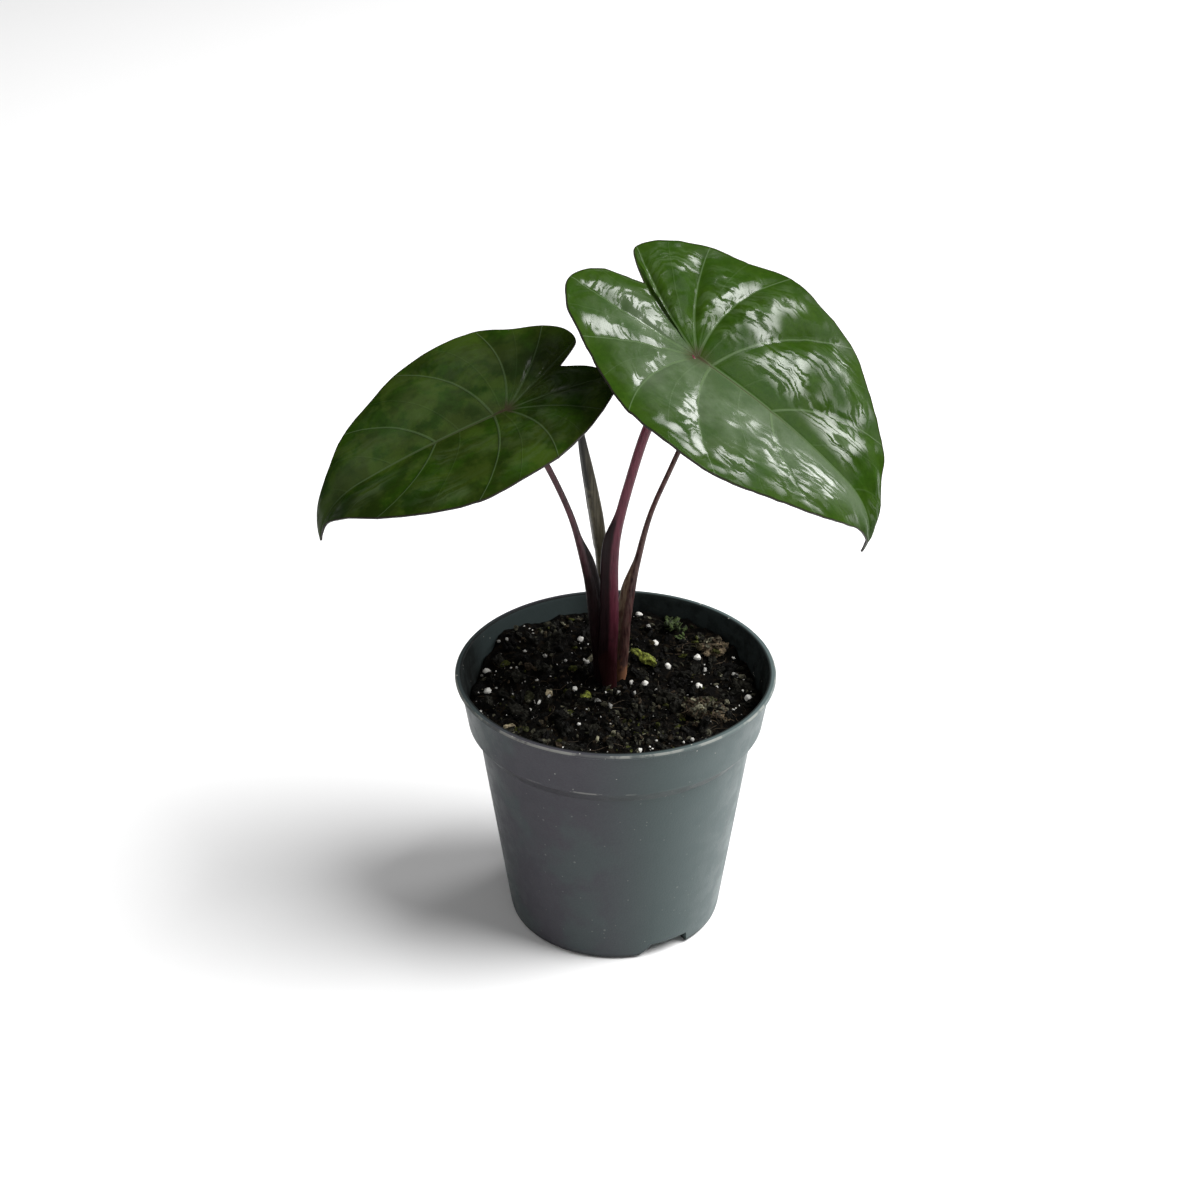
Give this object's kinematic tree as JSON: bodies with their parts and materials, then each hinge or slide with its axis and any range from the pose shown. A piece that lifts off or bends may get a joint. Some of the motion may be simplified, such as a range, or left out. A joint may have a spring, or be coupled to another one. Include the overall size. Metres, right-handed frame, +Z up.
{
  "type": "potted yucatan princess alocasia",
  "caption": "Young glossy-leaved alocasia with heart-shaped blades on wine-red stalks and a rolled new leaf, in dark mix in a round plastic nursery pot.",
  "frame": {"origin": "centre of the pot's underside, on the surface it stands on", "axes": "+Z up along the pot's axis, -Y towards the front of the plant, +X to its right"},
  "size_m": [0.1757, 0.105, 0.2244],
  "materials": {
    "pot": "satin grey-green plastic",
    "soil": "moist dark peat and bark mix",
    "corm": "rough brown corm",
    "blade_dark": "semi-gloss dark green leaf",
    "blade_green": "glossy quilted green leaf",
    "stalk_dark": "satin maroon stalk",
    "stalk_red": "satin wine-red stalk",
    "stalk_brown": "satin brown-red stalk",
    "rolled_leaf": "mottled olive rolled leaf",
    "bark": "rough red-brown bark",
    "chip": "matt tan chip",
    "moss": "yellow-green moss",
    "perlite": "matt white perlite"
  },
  "bodies": {
    "root": {"pot": "pot", "soil": "soil", "corm": "corm", "blade_left": "blade_dark", "blade_right": "blade_green", "blade_back": "blade_green", "petiole_left": "stalk_dark", "petiole_right": "stalk_red", "petiole_back": "stalk_brown", "new_leaf": "rolled_leaf", "bark_back": "bark", "bark_front": "bark", "bark_chip": "chip", "pebble_tan": "chip", "pebble_olive": "moss", "moss": "moss", "perlite_1": "perlite", "perlite_2": "perlite", "perlite_3": "perlite", "perlite_4": "perlite", "perlite_5": "perlite", "perlite_6": "perlite", "perlite_7": "perlite", "perlite_8": "perlite", "perlite_9": "perlite", "perlite_10": "perlite"}
  },
  "joints": []
}
